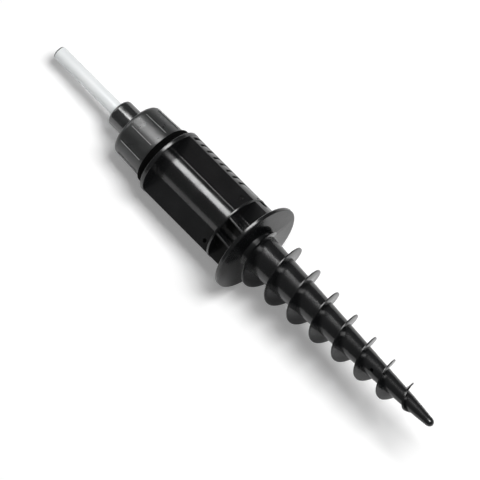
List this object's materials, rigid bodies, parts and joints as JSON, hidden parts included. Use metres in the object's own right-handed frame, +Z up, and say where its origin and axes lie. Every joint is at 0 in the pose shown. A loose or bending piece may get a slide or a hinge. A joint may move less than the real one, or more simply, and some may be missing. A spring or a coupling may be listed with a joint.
{
  "type": "foundation ground screw",
  "caption": "Plastic ground screw with a helical flight on a hollow cone, a winged pole socket, a ridged clamp nut and a reducer sleeve that holds a slim pole tube.",
  "frame": {"origin": "on the floor under the middle of the lying screw's whole length", "axes": "+X along the lying screw towards its tip, +Z up; the screw's own axis climbs 5.8 degrees towards the tip because it rests on the rims of its two flanges"},
  "size_m": [0.5976, 0.11, 0.1097],
  "materials": {
    "moulded_plastic": "glossy black moulded plastic",
    "nut_plastic": "satin dark grey moulded plastic with a fine grain",
    "seal_rubber": "matte black rubber",
    "inner_plastic": "plain black plastic, unpolished",
    "sleeve_plastic": "glossy black moulded plastic",
    "tube_white": "white powder-coated aluminium",
    "plug_plastic": "glossy black plastic"
  },
  "bodies": {
    "root": {"screw_body": "moulded_plastic", "seal_ring": "seal_rubber", "clamp_collet": "inner_plastic", "reducer_sleeve": "sleeve_plastic", "pole_tube": "tube_white", "tube_end_plug": "plug_plastic"},
    "slip": {"slip_ring": "inner_plastic"},
    "nut": {"cap_nut": "nut_plastic"}
  },
  "joints": [
    {"name": "nut_rise", "type": "slide", "parent": "root", "child": "slip", "axis": [-0.9948, 0, -0.1017], "range_m": [0, 0.0101]},
    {"name": "nut_turn", "type": "hinge", "parent": "slip", "child": "nut", "pos_m": [-0.17338, 0, 0.03542], "axis": [-0.9948, 0, -0.1017], "range_deg": [0, 900]}
  ],
  "couplings": [
    {"joint": "nut_rise", "follows": "nut_turn", "m_per_rad": 0.00063662}
  ]
}
